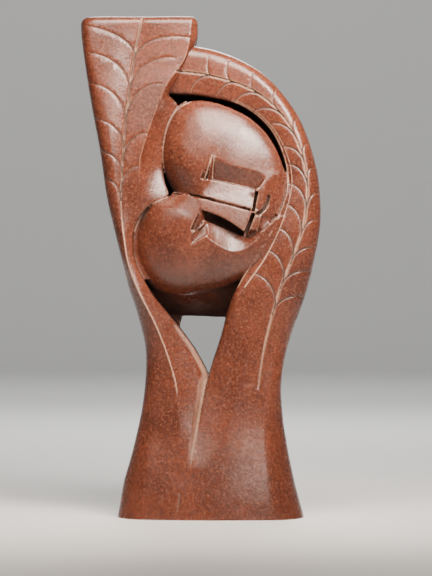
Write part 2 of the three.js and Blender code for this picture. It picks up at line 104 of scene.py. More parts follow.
def profile(*stations):
    """A smooth curve through (position, value) stations, flat beyond both ends."""
    places, values = np.array(stations, float).T
    slopes = np.empty(len(places))
    slopes[1:-1] = (values[2:] - values[:-2]) / (places[2:] - places[:-2])
    slopes[0], slopes[-1] = np.diff(values)[[0, -1]] / np.diff(places)[[0, -1]]

    def at(place):
        place = np.clip(place, places[0], places[-1])
        i = np.clip(np.searchsorted(places, place, side="right") - 1, 0, len(places) - 2)
        span = places[i + 1] - places[i]
        t = (place - places[i]) / span
        pull = t * (1 - t) * span * (slopes[i] * (1 - t) - slopes[i + 1] * t)
        return mix(values[i], values[i + 1], smooth(t)) + pull

    return at


def edge_drop(distance, radius):
    """How far a face drops near an edge that is rounded with the given radius."""
    reach = radius - np.clip(distance, 0, radius)
    return radius - np.sqrt(radius * radius - reach * reach)


def spline(points, t, closed=False):
    """Points of a smooth curve through the given ones, at shares t of its length in stations."""
    points = np.array(points, float)
    count = len(points)
    place = np.asarray(t, float) * (count if closed else count - 1)
    i = np.floor(place).astype(int)
    i = i if closed else np.minimum(i, count - 2)
    w = (place - i).reshape(place.shape + (1,) * (points.ndim - 1))
    around = [(i + k) % count if closed else np.clip(i + k, 0, count - 1) for k in (-1, 0, 1, 2)]
    p0, p1, p2, p3 = (points[k] for k in around)
    v0, v1 = (p2 - p0) / 2, (p3 - p1) / 2
    return (2 * p1 - 2 * p2 + v0 + v1) * w**3 + (-3 * p1 + 3 * p2 - 2 * v0 - v1) * w**2 + v0 * w + p1


def curve(points, count):
    """A number of points along the whole of a smooth curve through the given ones."""
    return spline(points, np.linspace(0, 1, count))


# Meshes


def new_object(name, mesh):
    piece = bpy.data.objects.new(name, mesh)
    bpy.context.scene.collection.objects.link(piece)
    return piece


def object_from(build, name="mass"):
    """A new object from a bmesh that is closed and has its faces turned outwards."""
    bmesh.ops.recalc_face_normals(build, faces=build.faces)
    mesh = bpy.data.meshes.new(name)
    build.to_mesh(mesh)
    build.free()
    return new_object(name, mesh)


def loft(rings):
    """A closed solid through rings of points in millimetres, with a fan over either end."""
    rings = np.asarray(rings, float) * MM
    build = bmesh.new()
    rows = [[build.verts.new(p) for p in ring] for ring in rings]
    for low, high in zip(rows, rows[1:]):
        for a, b, c, d in zip(low, low[1:] + low[:1], high[1:] + high[:1], high):
            build.faces.new((a, b, c, d))
    for row, ring in ((rows[0], rings[0]), (rows[-1], rings[-1])):
        centre = build.verts.new(ring.mean(axis=0))
        for a, b in zip(row, row[1:] + row[:1]):
            build.faces.new((a, b, centre))
    return object_from(build)


def hull(corners):
    """The solid inside a handful of corners given as (x, z, depth)."""
    build = bmesh.new()
    for x, z, depth in corners:
        build.verts.new((x * MM, -depth * MM, z * MM))
    made = bmesh.ops.convex_hull(build, input=build.verts)
    spare = [v for v in made["geom_interior"] + made["geom_unused"] if isinstance(v, bmesh.types.BMVert)]
    bmesh.ops.delete(build, geom=list(set(spare)), context="VERTS")
    return object_from(build)


def block_between(low, high):
    """A block from one (x, z) to another, deeper than the carving."""
    corners = [(x, z) for x in (low[0], high[0]) for z in (low[1], high[1])]
    return hull([(x, z, depth) for x, z in corners for depth in (-CLEAR, CLEAR)])


def gouge(*floor):
    """A cut with the given floor corners that is open towards the viewer."""
    return hull([*floor, *((x, z, HEAD_TOP + 20) for x, z, _ in floor)])


def hollow(*stations):
    """A hollow through stations of (lowest point, point of one rim, point of the other rim)."""
    rings = []
    for station in curve(stations, 5 * len(stations)):
        low, one, other = (np.array([x, -depth, z]) for x, z, depth in station)
        rings.append([low, one, mix(low, one, 2), mix(low, other, 2), other])
    return loft(rings)


def apply_modifiers(piece):
    """Makes what the modifiers show the object's own mesh."""
    shown = piece.evaluated_get(bpy.context.evaluated_depsgraph_get())
    mesh = bpy.data.meshes.new_from_object(shown)
    piece.modifiers.clear()
    old, piece.data = piece.data, mesh
    bpy.data.meshes.remove(old)


def combine(block, tools, operation):
    """Joins the tools to the block or cuts them out of it, and clears them away."""
    for tool in tools:
        step = block.modifiers.new(operation.title(), "BOOLEAN")
        step.solver, step.operation, step.object = "MANIFOLD", operation, tool
    apply_modifiers(block)
    if not block.data.polygons:
        raise RuntimeError(f"{operation.lower()} left nothing of {block.name}")
    for tool in tools:
        bpy.data.meshes.remove(tool.data)
    return block


# The upright leaf and the left leg

foot_depth = profile((0, 57), (20, 54.4), (50, 48.8), (84, 43), (APEX_HEIGHT, 39.4), (160, 39.6))
left_side = profile((0, -74.5), (33, -68.5), (70, -58.5), (111, -50.5), (148, -49), (181, -56),
                    (209, -65), (250, -75), (286, -83.5), (329, -90), (369, -97.5), (410, -104),
                    (437, -107.5), (450, -107.5))
left_fold = profile((0, -18), (70, -19), (116, -21), (146, -29), (176, -41), (200, -53.4), (215, -60),
                    (230, -64.8), (246, -67.4), (264, -69.6), (292, -70.6), (346, -67.3), (378, -64),
                    (409, -59.8), (450, -52))
left_shoulder = profile((0, -14), (84, -9), (124, -6), (148, -15), (176, -32), (203, -49.5), (215, -55.8),
                        (229, -61.2), (243, -63.8), (257, -64), (272, -60), (290, -55), (321, -53.5),
                        (340, -48.4), (358, -42), (388, -30), (404, -18), (416, -12), (450, -7))
left_edge = profile((0, -6), (49, -3), (84, 1), (APEX_HEIGHT, 7.5), (148, -3), (160, -11), (172, -20),
                    (187, -32), (195, -38.5), (203, -44.5), (209, -48), (215, -51.4), (229, -58),
                    (243, -60.6), (257, -59.4), (272, -53), (281.7, -43), (288, -29.4), (300, -31.6),
                    (312, -33.6), (325, -34.4), (338, -33.4), (350, -30.2), (360, -25.8), (367, -21.6),
                    (372, -21), (376, -25), (379, -28.5), (399, -18.5), (419, -8.8), (430, -3),
                    (450, -2.5))
leaf_depth = profile((160, 39.6), (200, 39.6), (250, 37), (300, 36), (350, 35), (400, 32), (450, 27))
leaf_back = profile((160, 39.6), (200, 40.5), (250, 39.5), (320, 36), (400, 32), (450, 30))
fold_depth = profile((255, 0), (275, 1.5), (300, 2.8), (345, 4.8), (385, 6), (412, 5.4), (446, 1.6))
leg_slope = profile((60, 0), (84, 0.16), (116, 0.32), (146, 0.48), (176, 0.6), (208, 0.7), (230, 0.85),
                    (250, 0.6), (265, 0.35), (285, 0.1), (300, 0))
# Below the opening the right leg lies lower than the left one, which slopes down to it.
leg_recess = profile((47, 0), (60, 2.6), (84, 5.5), (APEX_HEIGHT, 8), (150, 4), (185, 0))
groove_dip = profile((47, 0), (60, 2.6), (84, 5.5), (APEX_HEIGHT, 8), (150, 1), (160, 0))


def foot_crown(x, z):
    """How far the front of the foot falls away to either side of its middle."""
    return 8 * smooth((125 - z) / 60) * ((x - 20) / 72) ** 2


def left_front(x, z):
    """Depth of the front of the upright leaf and the left leg, with its fold and its flat right face."""
    side, fold, shoulder, edge = left_side(z), left_fold(z), left_shoulder(z), left_edge(z)
    depth = foot_depth(z) - foot_crown(x, z) if z < LEAF_HEIGHT else leaf_depth(z)
    outward, inward = clamp01((fold - x) / (fold - side)), clamp01((x - fold) / (shoulder - fold))
    depth = depth - fold_depth(z) * np.where(x < fold, (1 - outward) ** 2.8, 1 - inward)
    depth -= leg_slope(z) * (np.maximum(x - fold, 0) + 12 * smooth((240 - z) / 30) * outward)
    # Right of its shoulder the leaf sweeps back to the upper head, and above that it falls to its edge.
    past = clamp01((x - shoulder) / 26)
    band = smooth((z - 274 + 0.3 * (x + 45)) / 44) * smooth((388 - z) / 14)
    depth -= 14 * band * (1 - (1 - past) ** 2.2)
    depth -= 6 * smooth((z - 370) / 14) * clamp01((x - shoulder) / (edge - shoulder))
    return depth - groove_dip(z) * clamp01(1 - (edge - x) / 8)


def band_ring(guides, shares, front, back):
    """One ring of a leaf: its front face along guide points of the front view, and its back face.

    front and back are (columns, depth function, (radius at the first edge, radius at the last))."""
    guides = np.asarray(guides, float)

    def along(face, sign):
        columns, depth, (first, last) = face
        p = np.stack([np.interp(columns, shares, guides[:, k]) for k in (0, 1)], axis=1)
        drop = edge_drop(np.linalg.norm(p - guides[0], axis=1), first)
        drop = drop + edge_drop(np.linalg.norm(p - guides[-1], axis=1), last)
        return np.stack([p[:, 0], sign * (depth(p, columns) - drop), p[:, 1]], axis=1)

    return np.vstack([along(front, -1), along(back, 1)[::-1]])


def crowded(*spans):
    """Columns over spans of (start, end, count), closer together at both outer ends."""
    columns = [0.0]
    for k, (start, end, count) in enumerate(spans):
        t = np.arange(1, count + 1) / count
        if k == 0:
            t = mix(t, 1 - np.cos(t * np.pi / 2), 0.8)
        if k == len(spans) - 1:
            t = mix(t, np.sin(t * np.pi / 2), 0.8)
        columns += list(mix(start, end, t))
    return np.array(columns)


def left_body(fine):
    """The left leg and the upright leaf, through level rings."""
    heights = np.concatenate([np.linspace(0, 442, int(190 * fine)), np.linspace(443, HEIGHT, 14)])
    shares = (0, 0.45, 0.7, 1)
    columns = crowded((0, 0.45, int(26 * fine)), (0.45, 0.7, int(10 * fine)), (0.7, 1, int(18 * fine)))
    back_columns = crowded((0, 0.5, int(14 * fine)), (0.5, 1, int(14 * fine)))
    rings = []
    for z in heights:
        tuck = edge_drop(HEIGHT - z, TOP_ROUND)
        across = (left_side(z) + tuck, left_fold(z), left_shoulder(z) - tuck, left_edge(z) - tuck)
        corner = mix(26, 12, smooth(z / 140))
        inner_front, inner_back = SHARP, SHARP
        if z >= JOINED_HEIGHT:
            inner_front, inner_back = 1.2, min(10, (across[3] - across[0]) * 0.4)
        behind = foot_depth(z) if z < LEAF_HEIGHT else leaf_back(z)
        rings.append(band_ring(
            [(x, z) for x in across], shares,
            (columns, lambda p, u: left_front(p[:, 0], z) - tuck, (corner, inner_front)),
            (back_columns, lambda p, u: behind - tuck + 0 * u, (corner, inner_back)),
        ))
    return loft(rings)


# The right leg and the leaf that arches over as a hood

HOOD_INNER = ((-12.5, 0), (-9, 30), (-1, 84), (7, 124), (18, 161), (31, 203), (52.5, 239), (68.5, 268),
              (77.5, 306), (65, 344), (38, 368.5), (4, 378), (-32, 381))
HOOD_RIB = ((46, 0), (46, 32), (48, 84), (52, 119), (58, 158), (70, 203), (84.5, 240), (93, 270), (94, 308),
            (80, 350), (51, 380), (8, 396), (-32, 401))
HOOD_OUTER = ((93.5, 0), (84.5, 33), (75, 84), (73, 124), (80.5, 160), (94, 199), (103, 236), (107.8, 272),
              (103.5, 315), (87, 361), (55, 399), (12, 420), (-32, 426))
hood_crest = profile((0.25, 39.4), (0.333, 40), (0.417, 43.4), (0.5, 46.2), (0.583, 46.8), (0.667, 45),
                     (0.75, 40.5), (0.88, 32), (1, 24))
hood_back = profile((0.25, 39.4), (0.333, 40), (0.42, 43), (0.58, 45), (0.75, 42), (0.88, 35), (1, 28))
hood_inner_drop = profile((0.25, 0), (0.35, 3), (0.5, 6), (0.7, 6), (0.85, 4), (1, 3))
hood_outer_drop = profile((0.25, 0), (0.33, 7), (0.42, 7), (0.6, 4.5), (0.75, 2), (1, 1))
lip_width = profile((0.36, 0), (0.46, 9), (0.58, 6), (0.75, 3), (1, 2))
leg_round = profile((0.2, SHARP), (0.26, 3), (0.36, 8), (0.44, 1))
# The leg becomes the hood at this share of its length. The midrib runs at one share of its width, with a
# small step just before it.
HOOD_START = 0.25
RIB = 0.6
BEFORE_RIB = 0.599


def right_body(fine):
    """The right leg and the hood, through rings that follow their bend."""
    columns = np.concatenate([crowded((0, RIB, int(30 * fine)))[:-1], [BEFORE_RIB],
                              np.linspace(RIB, 1, int(26 * fine))])
    back_columns = crowded((0, RIB, int(16 * fine)), (RIB, 1, int(16 * fine)))
    rings = []
    for t in np.linspace(0, 1, int(210 * fine)):
        inner, rib, outer = (spline(points, t) for points in (HOOD_INNER, HOOD_RIB, HOOD_OUTER))

        # The front falls to either side of the midrib, and a bevel runs along the hood's inner lip.
        def front_depth(p, u):
            from_lip = np.linalg.norm(p - inner, axis=1)
            recess = leg_recess(p[:, 1]) * (1 - clamp01(from_lip / 28)) ** 1.5
            if t < HOOD_START:
                return foot_depth(p[:, 1]) - foot_crown(p[:, 0], p[:, 1]) - recess
            towards_inner = hood_inner_drop(t) * clamp01(1 - u / RIB) ** 1.3
            towards_inner = towards_inner + 1.2 * smooth((t - 0.28) / 0.08) * (u < BEFORE_RIB)
            towards_outer = hood_outer_drop(t) * clamp01((u - RIB) / (1 - RIB)) ** 1.5
            lip = max(lip_width(t), 0.1)
            bevel = 0.45 * lip * clamp01(1 - from_lip / lip)
            return hood_crest(t) - recess - np.where(u < RIB, towards_inner, towards_outer) - bevel

        def back_depth(p, u):
            return foot_depth(p[:, 1]) if t < HOOD_START else hood_back(t) + 0 * u

        outer_round = mix(30, 11, smooth(t / 0.3))
        rings.append(band_ring(
            (inner, rib, outer), (0, RIB, 1),
            (columns, front_depth, (leg_round(t), outer_round)),
            (back_columns, back_depth, (SHARP if t < 0.26 else 7, outer_round)),
        ))
    return loft(rings)


# The heads

SEAM = ((-25, 290.9), (-16, 290), (-1.7, 287.5), (12.7, 284), (28.3, 280.1), (46.3, 274.7))
# Outlines of the heads as (x, z, depth of the rim). Each runs on past the seam, where it is cut off.
UPPER_HEAD = ((-23, 290.5, 17), (-26.4, 296.6, 16), (-29.4, 302.6, 16), (-32, 310, 18), (-33.4, 320, 22),
              (-33.3, 332, 22), (-31, 346, 22), (-27, 357, 21), (-20, 367, 22), (-8, 373.6, 24),
              (8, 373, 27), (26, 367.4, 30), (44.5, 358, 33), (58.6, 344.8, 34.5), (68.6, 328, 35.5),
              (75, 312, 36), (82, 296, 36.5), (84, 276, 36.5), (72, 254, 35), (48, 238, 34),
              (14, 232, 28), (-14, 262, 20), (-19.5, 280, 18))
LOWER_HEAD = ((-27, 288.5, 27), (-42, 281.8, 27), (-52.5, 272, 22), (-59, 257, 18), (-60.3, 243, 18),
              (-57.7, 229, 18), (-51, 215.5, 18), (-41, 205.5, 18), (-28, 200.8, 18), (-14, 199.8, 18),
              (2, 202, 18), (18, 206, 21), (34, 213, 26), (54, 226, 32), (73, 243, 35), (86, 266, 36),
              (82, 292, 36), (50, 318, 34), (10, 322, 26), (-14, 308, 20))
UPPER_SUMMIT, LOWER_SUMMIT = (16, 304), (4, 262)
# The block behind the heads: its outline, its middle, and its layers as (share of the outline, depth).
CORE = ((-42, 181), (-28, 171.5), (-19.5, 170), (-18.5, 180), (0, 180.6), (20, 180), (44, 183), (66, 230),
        (86, 262), (90, 306), (76, 352), (42, 382), (0, 391), (-36, 388), (-52, 340), (-58, 290),
        (-64, 250), (-64, 215))
CORE_SUMMIT = (10, 280)
CORE_LAYERS = ((0.1, -15), (0.97, -15), (1, -18), (1, -26), (0.985, -32), (0.9, -39), (0.7, -43.5),
               (0.35, -46.5), (0.1, -47.5))
# The corners of the slope under the lower head.
UNDERSIDE = ((-52, 216.5, 16), (-41, 206.8, 16.5), (-28, 202.2, 16.5), (-14, 201.2, 16.5), (2, 203.4, 16.5),
             (16, 208.4, 16.5), (30, 217.4, 16), (46, 233, 15), (-46, 188, -17), (-38, 181, -18),
             (30, 180.2, -18), (44, 186, -17), (52, 215, -17), (-40, 230, -17), (40, 240, -17))
# Slots as (path, width, depth, size at the start, size at the end): the seam where the heads meet, the
# curve of the mouth, and the line of the chin.
MOUTH_CURVE = ((61.4, 288.6), (60.8, 284.6), (59.2, 280.2), (55.8, 275.4), (51.4, 272.2), (47.2, 271.2))
MOUTH_LINES = (
    ((*SEAM, (47.4, 273.6)), 2.6, 6, 0.8, 1),
    (MOUTH_CURVE, 4.4, 9, 0.45, 1),
    (((68.4, 271.4), (61, 263.6), (50.6, 253.4)), 3, 3, 1, 0.4),
)


def mass(outline, summit, layers, fine):
    """A mass with a smooth closed outline in the front view, through layers of (share of it, depth)."""
    count = int(170 * fine)
    outline = spline(outline, np.arange(count) / count, closed=True)
    rings = []
    for share, depth in layers:
        p = mix(np.array(summit, float), outline[:, :2], share)
        depth = depth(outline[:, 2]) if callable(depth) else np.full(len(p), float(depth))
        rings.append(np.stack([p[:, 0], -depth, p[:, 1]], axis=1))
    return loft(rings)


def head(outline, summit, fine):
    """A head bulges from its rim to its summit and goes straight back behind the rim into the block."""
    def bulge(share):
        return lambda rim: rim + (HEAD_TOP - rim) * max(1 - share**2.1, 0) ** 0.66

    shares = np.sin(np.linspace(0.04, np.pi / 2, int(34 * fine)))
    layers = [(share, bulge(share)) for share in shares]
    return mass(outline, summit, [*layers, (1, lambda rim: rim - 4), (1, -24)], fine)


def heads(fine):
    """The two heads, each cut off along the straight line where they meet."""
    (x0, z0), (x1, z1) = SEAM[0], SEAM[-1]
    up = np.array([z0 - z1, x1 - x0]) / math.hypot(x1 - x0, z1 - z0)
    along = np.array([up[1], -up[0]])

    def side(sign, overlap):
        near = np.array([x1, z1]) + up * sign * overlap
        corners = [near + along * a + up * sign * b for a in (-300, 300) for b in (0, 400)]
        return hull([(x, z, depth) for x, z in corners for depth in (-CLEAR, CLEAR)])

    upper = combine(head(UPPER_HEAD, UPPER_SUMMIT, fine), [side(-1, 0)], "DIFFERENCE")
    lower = combine(head(LOWER_HEAD, LOWER_SUMMIT, fine), [side(1, 1.5)], "DIFFERENCE")
    upper_nose = hull([(0, 288.4, 45.5), (13, 301, 43), (15, 284, 47.4), (50.4, 293, 40.6),
                       (45.7, 275.2, 46.9), (50.4, 292.8, 30), (45.7, 275.4, 30), (0, 292, 35)])
    lower_nose = hull([(-1.5, 286.5, 46.8), (-1.5, 277.5, 48), (10.9, 274.1, 48.4), (22.3, 268.7, 48.2),
                       (38.2, 257, 47.9), (46.6, 274, 45.2), (38.2, 257, 30), (46, 272.5, 30),
                       (0, 283, 35)])
    return combine(upper, [lower, upper_nose, lower_nose], "UNION")


def face_cuts():
    """The notch beside each nose, the folded eyelids, and the slots that part the nose from the mouth."""
    brow = (((10.6, 302, 39), (10.9, 324.2, 50)), ((19, 300.6, 39), (19.2, 320, 50)),
            ((27.6, 298.8, 39), (26.8, 315.6, 49.9)), ((38.4, 296.4, 38.4), (38.9, 312.2, 48.4)),
            ((48.4, 294, 38), (51.5, 308.2, 46.2)), ((53, 296, 41.4), (57.4, 302.6, 44.6)))
    return [
        hollow(*((low, rim, (low[0], low[1] - 0.1, 50)) for low, rim in brow)),
        hollow(((3.6, 270.2, 43), (-1.2, 277.3, 48.8), (0.5, 262, 49.4)),
               ((6, 267.6, 39), (10.9, 274.1, 48.8), (7, 250.8, 49.6)),
               ((18, 262.6, 38), (22.3, 268.8, 48.4), (15.2, 243.5, 48.6)),
               ((29, 257.2, 37), (31.5, 262.3, 48), (27.5, 237, 46.6)),
               ((39, 252.2, 37), (38.8, 256.6, 47.2), (41.4, 243.8, 43.6)),
               ((43.5, 252, 40), (44.5, 255, 43), (50.5, 256, 41.6))),
        gouge((11.6, 324, 50), (6.8, 302.6, 44.6), (11, 302, 37.4), (13, 312, 42.5)),
        gouge((11.2, 324.4, 50.2), (2.4, 302.9, 46), (6, 302.6, 41.4), (6.2, 302.6, 45)),
        gouge((10.9, 324.6, 50.4), (-0.9, 303.2, 48.6), (1.8, 303, 42), (2, 303, 46.4)),
        gouge((2, 275, 46), (6, 274, 34), (16, 270.4, 28), (27, 264.6, 28), (38.6, 256.4, 28),
              (38.8, 252.2, 28), (27, 258.2, 28), (16, 263.6, 28), (5.6, 265.8, 34), (2.6, 269, 44)),
        gouge((6.7, 265.4, 41), (-10.2, 250.6, 49.6), (-7.8, 244.8, 47), (6.6, 254, 45.2)),
        gouge((-1, 275.6, 50), (-8.6, 258.4, 49.6), (-6.6, 257, 42.6), (-6.2, 256.8, 46.8),
              (-0.2, 270, 44)),
        gouge((-0.4, 275, 50), (-5.6, 256.6, 47.6), (-3.6, 256.2, 43), (5, 267.6, 40)),
        gouge((-1, 305, 49.8), (5, 304.2, 46.6), (12, 303.2, 43.9), (22, 301.6, 42), (50.4, 295.4, 39.8),
              (-1, 288.4, 47.6), (14.5, 283.4, 47.6), (45.7, 274.6, 47)),
        gouge((-1, 287.6, 47.2), (-1, 277.2, 48.4), (38.2, 257, 48), (46.8, 275, 45.2)),
        gouge((61.5, 318, 46.5), (61, 290, 45.6), (56, 276, 45.4), (54.6, 270, 45.2), (80, 318, 37.5),
              (77, 290, 38.5), (71, 272, 39.5), (63, 264, 41.5)),
        gouge((54.8, 270, 43.4), (66.4, 269.2, 40.2), (50.4, 254, 45.4), (53.8, 262, 44.6)),
        gouge((49.3, 292.4, 38.5), (51.9, 291.8, 38.5), (48.2, 273.6, 37.5), (45.8, 274.2, 37.5)),
        gouge((46.2, 273.6, 37.5), (49, 271.6, 37.5), (40.9, 251, 37.5), (38.3, 254, 37.5)),
    ]


def saw_cuts(block, lines):
    """V-shaped cutters that follow the surface of the block along slots of the front view."""
    tree = BVHTree.FromObject(block, bpy.context.evaluated_depsgraph_get())
    cutters = []
    for path, width, depth, start, end in lines:
        starts = [Vector((x * MM, -CLEAR * MM, z * MM)) for x, z in curve(path, 6 * len(path))]
        hits = [tree.ray_cast(start, Vector((0, 1, 0)))[:2] for start in starts]
        hits = [(np.array(p) / MM, np.array(n)) for p, n in hits if p]
        rings = []
        for i, (p, _) in enumerate(hits):
            near = hits[max(i - 2, 0) : i + 3]
            along = near[-1][0] - near[0][0]
            out = sum(n for _, n in near)
            along, out = along / np.linalg.norm(along), out / np.linalg.norm(out)
            side = np.cross(along, out)
            size = mix(start, end, i / (len(hits) - 1)) ** 0.6
            half = width / 2 * (1 + 2 / (depth * size)) * size
            rings.append([p + out * 2 + side * half, p - out * depth * size, p + out * 2 - side * half])
        cutters.append(loft(rings))
    return cutters


def bed(outline, summit, depth, cuts, fine):
    """A flat bed, a little larger than the head that lies on it, of which blocks are cut off."""
    flat = mass(outline, summit, ((0.1, depth), (1.03, depth), (1.03, -15)), fine)
    return combine(flat, [block_between(low, high) for low, high in cuts], "DIFFERENCE")


def rough_block(fine):
    """The whole carving without its fine lines, as one closed mesh."""
    faces = heads(fine)
    faces = combine(faces, face_cuts(), "DIFFERENCE")
    faces = combine(faces, saw_cuts(faces, MOUTH_LINES), "DIFFERENCE")
    core = mass(CORE, CORE_SUMMIT, CORE_LAYERS, fine)
    beds = [
        bed(UPPER_HEAD, UPPER_SUMMIT, 20.5, [((-12, 200), (200, 500)), ((-200, 100), (200, 318))], fine),
        bed(LOWER_HEAD, LOWER_SUMMIT, 26, [((-30, 100), (200, 500)), ((-200, 280), (200, 500)),
                                           ((-200, 100), (200, 214))], fine),
    ]
    return combine(left_body(fine), [right_body(fine), core, hull(UNDERSIDE), faces, *beds], "UNION")


# The incised lines

LEAF_VEINS = ((-101.5, 441, 418), (-99.3, 416.5, 387.5), (-98, 388.8, 358), (-94, 356.7, 335.5),
              (-88.6, 327.2, 313), (-83.5, 302.2, 288), (-8.5, 430, 414.7), (-21.6, 412, 388),
              (-34.1, 388.8, 362), (-47.5, 344.2, 323.7), (-55.5, 314.7, 295.1))
HOOD_VEINS = ((7.4, 413.4, 7.4, 398.2), (25.2, 409.8, 26.1, 392.4), (47.5, 398.2, 45.7, 384),
              (68.4, 383.1, 67.6, 368.8), (86.7, 356.8, 82.7, 346.6), (96.1, 335, 91, 326.5),
              (100.1, 312.7, 94.7, 304.2), (105.4, 290.9, 94.3, 278), (105.4, 266.4, 90.3, 255.2),
              (102.8, 240.7, 81.4, 231.6), (97.3, 219.6, 72.9, 208.5), (91.2, 197.8, 65.3, 184.9),
              (-8.2, 382.2, 7, 395.6), (15, 377.7, 26.6, 389.3), (30.1, 371.5, 49.7, 380),
              (47.1, 362.6, 71.1, 363.5), (62.2, 351.9, 83.6, 343), (72.9, 331.4, 91.2, 321.6),
              (77.4, 316.3, 93.8, 301.1), (78.2, 299.3, 93.4, 279.7), (76, 281.1, 88.5, 256.6),
              (70.7, 259.3, 80.5, 234.3), (61.8, 239.1, 72.5, 213.8), (48.3, 219.2, 64.4, 192.4))


def vein(edge, meet, towards_tip):
    """A vein leaves a midrib along it and turns out to the edge like a quarter of an ellipse."""
    meet = meet - 4 * towards_tip
    reach = np.array(edge) - meet
    along = towards_tip * (reach @ towards_tip)
    turn = (1 - np.linspace(0, 1, 24)[:, None]) * np.pi / 2
    return meet + along * np.sin(turn) + (reach - along) * (1 - np.cos(turn))


CHISEL_MARK = ((-17.6, 24), (-18.5, 18), (-20.2, 9))
GROOVE_WALL = ((5.2, 124), (3.2, 115.2), (-2.7, 81.7), (-7.6, 54.5), (-8.3, 46))
EYELID_FOLDS = (((10.9, 324.8), (7.6, 314), (4.1, 303.8)), ((12.5, 322.7), (11.5, 312), (10.9, 303.8)))


def line_between(place, start, end, count):
    """Points along one of the upright lines of the left leg and leaf, from one height to another."""
    heights = np.linspace(start, end, count)
    return np.stack([place(heights), heights], axis=1)


def leaf_lines(vein_size, rib_size):
    """The veins and the midrib of the upright leaf."""
    lines = [(line_between(left_fold, 447, 268, 60), *rib_size, 0.9, 0.5, 0)]
    for x, z, meets in LEAF_VEINS:
        tip = np.array([left_fold(meets + 5) - left_fold(meets), 5.0])
        path = vein((x, z), np.array([left_fold(meets), meets]), tip / np.linalg.norm(tip))
        lines.append((path, *vein_size, 0.35, 1, 1))
    return lines


def hood_lines(vein_size, rib_size):
    """The veins and the midrib of the hood, and the two pale lines along its inner lip, painted highlights
    on its edges.
    """
    t = np.linspace(0.425, 0.86, 120)
    lip, towards_rib = spline(HOOD_INNER, t), spline(HOOD_RIB, t) - spline(HOOD_INNER, t)
    towards_rib /= np.linalg.norm(towards_rib, axis=1)[:, None]
    lines = [
        # Painted highlights along the edges of the inner lip.
        (lip + towards_rib * 0.9, 1.4, 0, 0.6, 0.9, 0),
        (lip + towards_rib * lip_width(t)[:, None], 1.3, 0.3, 0.9, 0.4, 0),
        (spline(HOOD_RIB, np.linspace(0.97, 0.245, 120)), *rib_size, 1, 0.7, 0.3),
    ]
    rib = curve(HOOD_RIB, 201)
    for x, z, meet_x, meet_z in HOOD_VEINS:
        i = np.clip(np.argmin(np.linalg.norm(rib - (meet_x, meet_z), axis=1)), 2, len(rib) - 3)
        tip = rib[i + 2] - rib[i - 2]
        lines.append((vein((x, z), rib[i], tip / np.linalg.norm(tip)), *vein_size, 0.35, 1, 1))
    return lines


def incised_lines(carving):
    """Every line as (path, width, depth, size at its start, size at its end, dark wax in it); the dark wax
    also paints shade into the lines.

    A line without depth isn't cut in, but only painted paler towards the raw stone: a painted highlight
    along an edge, lip or rim, or pale raw stone with painted light on the groove's wall."""
    vein_size = carving.vein_width / MM, carving.vein_depth / MM
    rib_size = carving.rib_width / MM, carving.rib_depth / MM
    groove_wall = curve(GROOVE_WALL, 30)
    lines = [
        # Painted highlights on the arris down the left leg and on the edge of its flat right face above the
        # groove.
        (line_between(left_fold, 112, 266, 60), 1.6, 0, 0.7, 1, 0),
        (line_between(left_edge, 126, 172, 20) - (2.5, 0), 12, 0, 0.4, 0.2, 0),
        # Pale raw stone with painted light on the wall of the groove below the opening.
        (groove_wall, 3.6, 0, 1, 0.1, 0),
        (groove_wall - (2.4, 0), 20, 0, 0.3, 0.02, 0),
        (curve(CHISEL_MARK, 12), 2.2, 1.4, 1, 0.4, 1),
        # Dark wax that paints the shade in the curve of the mouth.
        (curve(MOUTH_CURVE, 40), 3.4, 0.6, 0.6, 1, 1),
    ]
    # Painted highlights along the folds of the eyelids.
    lines += [(curve(fold, 12), 1.5, 0, 0.8, 1, 0) for fold in EYELID_FOLDS]
    # A painted highlight runs as a pale rim round the heads where they meet the leaf.
    for rim in (UPPER_HEAD[3:10], LOWER_HEAD[:4]):
        lines.append((curve([point[:2] for point in rim], 60), 2.2, 0, 0.5, 0.8, 0))
    return lines + leaf_lines(vein_size, rib_size) + hood_lines(vein_size, rib_size)


def line_depths(points, lines):
    """How deep the lines cut each point of the front view in mm, how far the stone is painted pale (raw
    stone and painted highlights), and how much dark wax and painted shade lie in it.
    """
    deep, raw, waxed = np.zeros((3, len(points)))
    for path, width, depth, start, end, wax in lines:
        low, high = path.min(axis=0) - width, path.max(axis=0) + width
        near = np.flatnonzero(np.all((points > low) & (points < high), axis=1))
        if not len(near):
            continue
        a, step = path[:-1], np.diff(path, axis=0)
        to = points[near][:, None, :] - a[None]
        t = clamp01((to * step).sum(axis=2) / (step * step).sum(axis=1))
        distance = np.linalg.norm(to - t[..., None] * step, axis=2)
        best = distance.argmin(axis=1)
        rows = np.arange(len(near))
        place = (best + t[rows, best]) / len(step)
        size = mix(start, end, place) ** 0.6
        share = distance[rows, best] / (width / 2 * size)
        deep[near] = np.maximum(deep[near], depth * size * clamp01(1 - share) ** 0.9)
        raw[near] = np.maximum(raw[near], smooth(1.3 - share) * size * (1 - 0.3 * wax))
        waxed[near] = np.maximum(waxed[near], wax * smooth(1.5 - 1.6 * share) * size)
    return deep, raw, waxed


def neighbour_mean(values, edges, counts):
    """The mean of a value over each point's neighbours."""
    total = np.zeros_like(values)
    np.add.at(total, edges[:, 0], values[edges[:, 1]])
    np.add.at(total, edges[:, 1], values[edges[:, 0]])
    return total / (counts[:, None] if values.ndim == 2 else counts)


def read_mesh(mesh):
    """The points of a mesh in millimetres, the normals there, and its edges."""
    points = np.empty(len(mesh.vertices) * 3)
    normals = np.empty(len(mesh.vertices) * 3)
    edges = np.empty(len(mesh.edges) * 2, int)
    mesh.vertices.foreach_get("co", points)
    mesh.vertex_normals.foreach_get("vector", normals)
    mesh.edges.foreach_get("vertices", edges)
    return points.reshape(-1, 3) / MM, normals.reshape(-1, 3), edges.reshape(-1, 2)


def store(mesh, name, values):
    """Keeps a value for each point under a name that the material reads."""
    mesh.attributes.new(name, "FLOAT", "POINT").data.foreach_set("value", values.astype(np.float32))


